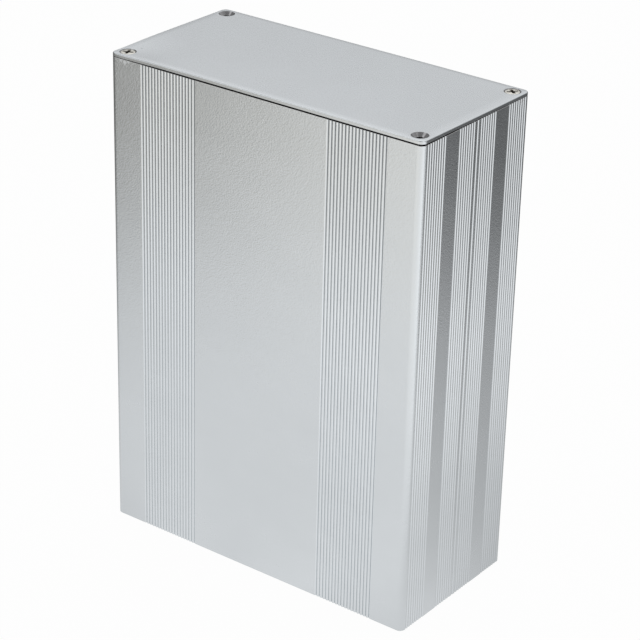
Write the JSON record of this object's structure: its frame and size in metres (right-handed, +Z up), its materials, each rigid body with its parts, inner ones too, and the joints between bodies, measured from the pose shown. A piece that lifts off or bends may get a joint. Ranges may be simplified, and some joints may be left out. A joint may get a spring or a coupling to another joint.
{
  "type": "extruded aluminium enclosure",
  "caption": "Split-body extruded aluminium enclosure with reeded outer faces, card slots, corner screw ports and a countersunk end plate, open at the lower end.",
  "frame": {"origin": "centre of the open lower end, on the surface that the enclosure stands on", "axes": "+Z up along the extrusion, +X across the wide face, +Y from the front face to the back face"},
  "size_m": [0.145, 0.069, 0.202],
  "materials": {
    "extrusion": "sandblasted and clear anodised",
    "plate": "sandblasted and clear anodised, edges bright",
    "screws": "nickel plated"
  },
  "bodies": {
    "root": {"front_shell": "extrusion", "rear_shell": "extrusion", "end_plate": "plate", "plate_screws": "screws"}
  },
  "joints": []
}
